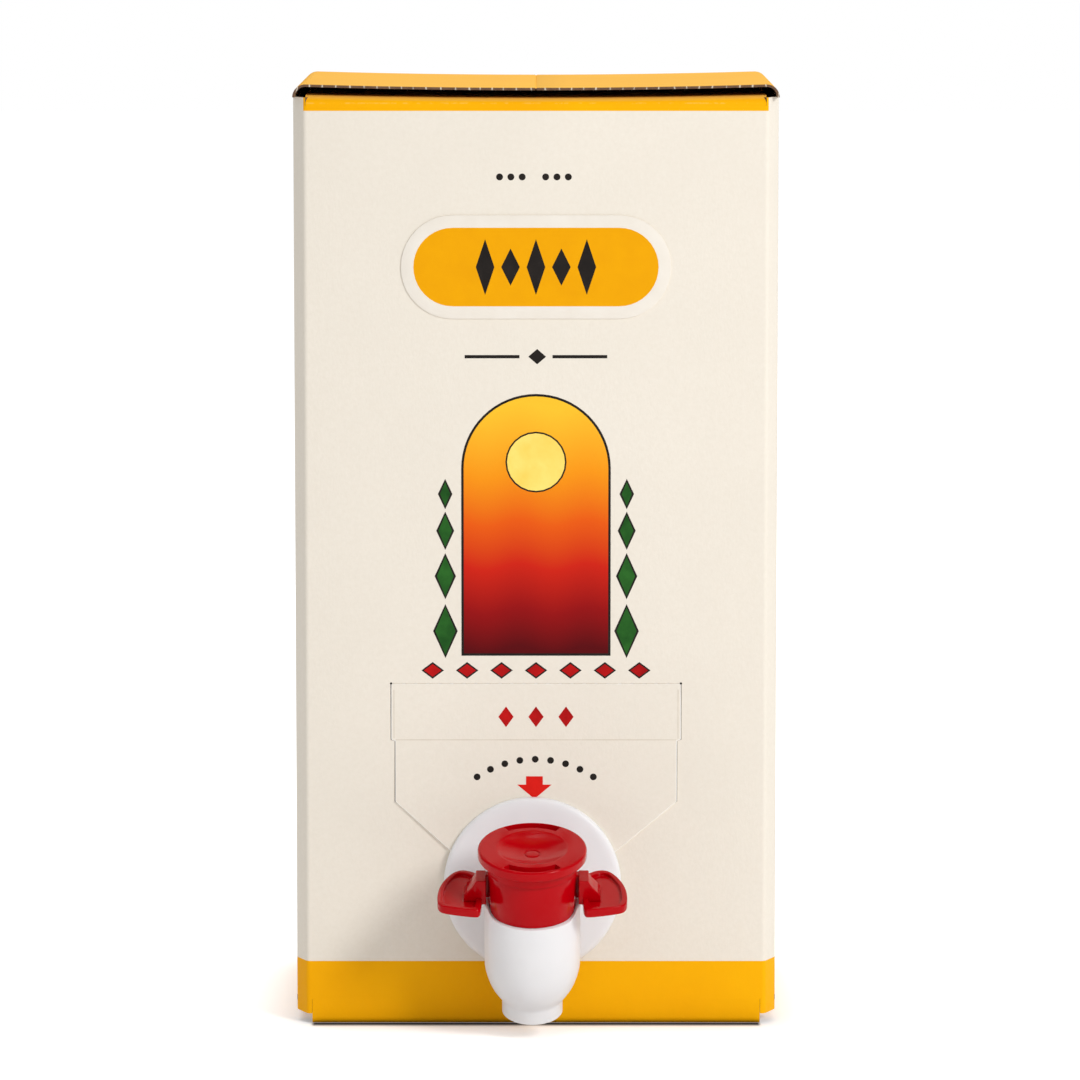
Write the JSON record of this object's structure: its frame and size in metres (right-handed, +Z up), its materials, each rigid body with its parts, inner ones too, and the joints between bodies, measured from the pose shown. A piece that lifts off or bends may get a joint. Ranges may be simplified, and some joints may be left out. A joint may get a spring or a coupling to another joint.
{
  "type": "drink box with tap",
  "caption": "Tall folded corrugated drink box holding a sealed liquid bag, with a cut front flap, a pill-shaped sticker and a leaning push-button tap with finger wings low on its front.",
  "frame": {"origin": "centre of the carton's base, on the outside of the bottom flap that it stands on", "axes": "+X to the right as the front is faced, +Y to the back of the box, away from the tap, +Z up"},
  "size_m": [0.1204, 0.1276, 0.2357],
  "materials": {
    "cream_board": "matte printed corrugated board",
    "yellow_label": "satin sticker",
    "silver_film": "satin barrier film filled with liquid",
    "natural_plastic": "satin moulded",
    "white_plastic": "satin moulded",
    "red_plastic": "satin moulded",
    "grey_rubber": "matte"
  },
  "bodies": {
    "box": {"carton": "cream_board", "front_label": "yellow_label", "liquid_bag": "silver_film", "gland": "natural_plastic", "tap_body": "white_plastic", "wing_collar": "red_plastic", "return_dome": "grey_rubber"},
    "button": {"thumb_button": "red_plastic", "valve_stem": "white_plastic", "valve_seal": "grey_rubber"}
  },
  "joints": [
    {"name": "button_press", "type": "slide", "parent": "box", "child": "button", "axis": [0, 0.3173, -0.9483], "range_m": [0, 0.0025], "stiffness_N_per_m": 1600, "springref_m": -0.004, "deforming": ["return_dome"]}
  ]
}
